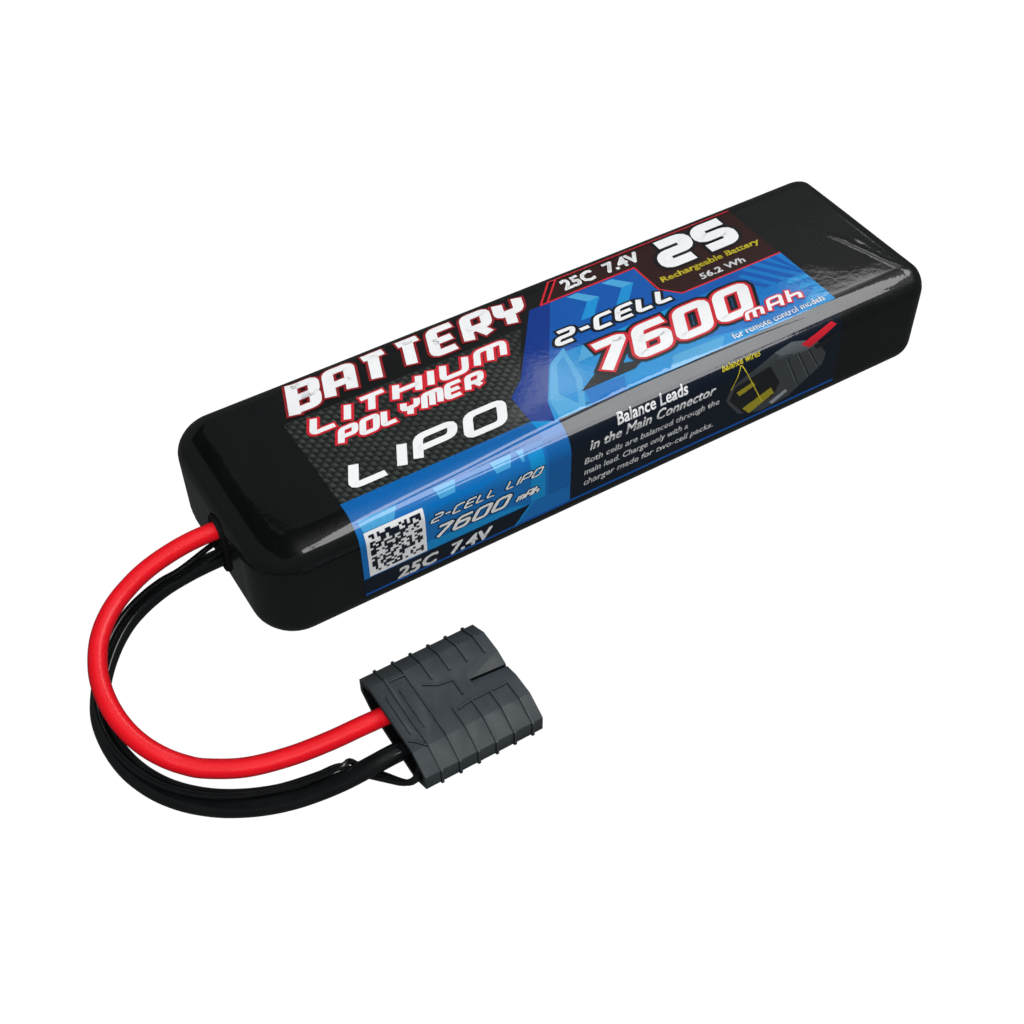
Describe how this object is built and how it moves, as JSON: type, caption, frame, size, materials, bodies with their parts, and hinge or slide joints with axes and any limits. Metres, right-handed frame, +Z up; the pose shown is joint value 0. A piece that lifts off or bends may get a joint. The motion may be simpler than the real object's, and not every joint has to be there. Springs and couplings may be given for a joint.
{
  "type": "lipo battery pack",
  "caption": "Flat soft-edged lithium polymer stick pack in glossy printed film, with a red and a black lead and thin balance wires looping back to a flat ribbed connector.",
  "frame": {"origin": "middle of the pack's flat underside, where it rests on the floor", "axes": "+X along the pack away from the leads, +Y across the pack away from the connector, +Z up"},
  "size_m": [0.1897, 0.0852, 0.024],
  "materials": {
    "wrap_film": "glossy printed shrink film",
    "stiffener": "plain glass-fibre sheet",
    "end_cap": "moulded, matt",
    "foam": "closed-cell foam",
    "pouch": "satin laminated foil",
    "foam_tape": "foam tape",
    "aluminium_tab": "bare rolled strip",
    "nickel_tab": "bare rolled nickel strip",
    "laminate": "solder-masked circuit laminate",
    "insulation_paper": "pressed paper",
    "solder": "bright solder",
    "grommet_rubber": "soft matt rubber",
    "red_silicone": "semi-gloss silicone",
    "black_silicone": "semi-gloss silicone",
    "connector_nylon": "moulded, satin",
    "retainer_nylon": "moulded, matt",
    "plated_contact": "gold-plated, bright"
  },
  "bodies": {
    "root": {"wrap_sleeve": "wrap_film", "bottom_plate": "stiffener", "top_plate": "stiffener", "lead_end_cap": "end_cap", "rear_end_cap": "end_cap", "rear_foam_pad": "foam", "cell_lower": "pouch", "cell_upper": "pouch", "cell_divider": "foam_tape", "cell_lower_positive_tab": "aluminium_tab", "cell_upper_positive_tab": "aluminium_tab", "cell_lower_negative_tab": "nickel_tab", "cell_upper_negative_tab": "nickel_tab", "junction_board": "laminate", "tab_insulator": "insulation_paper", "positive_solder_joint": "solder", "negative_solder_joint": "solder", "balance_solder_joint_a": "solder", "balance_solder_joint_b": "solder", "lead_grommet": "grommet_rubber", "positive_lead": "red_silicone", "negative_lead": "black_silicone", "balance_wire_a": "black_silicone", "balance_wire_b": "black_silicone", "connector_housing": "connector_nylon", "terminal_retainer": "retainer_nylon", "positive_terminal": "plated_contact", "negative_terminal": "plated_contact", "balance_contact_a": "plated_contact", "balance_contact_b": "plated_contact"}
  },
  "joints": []
}
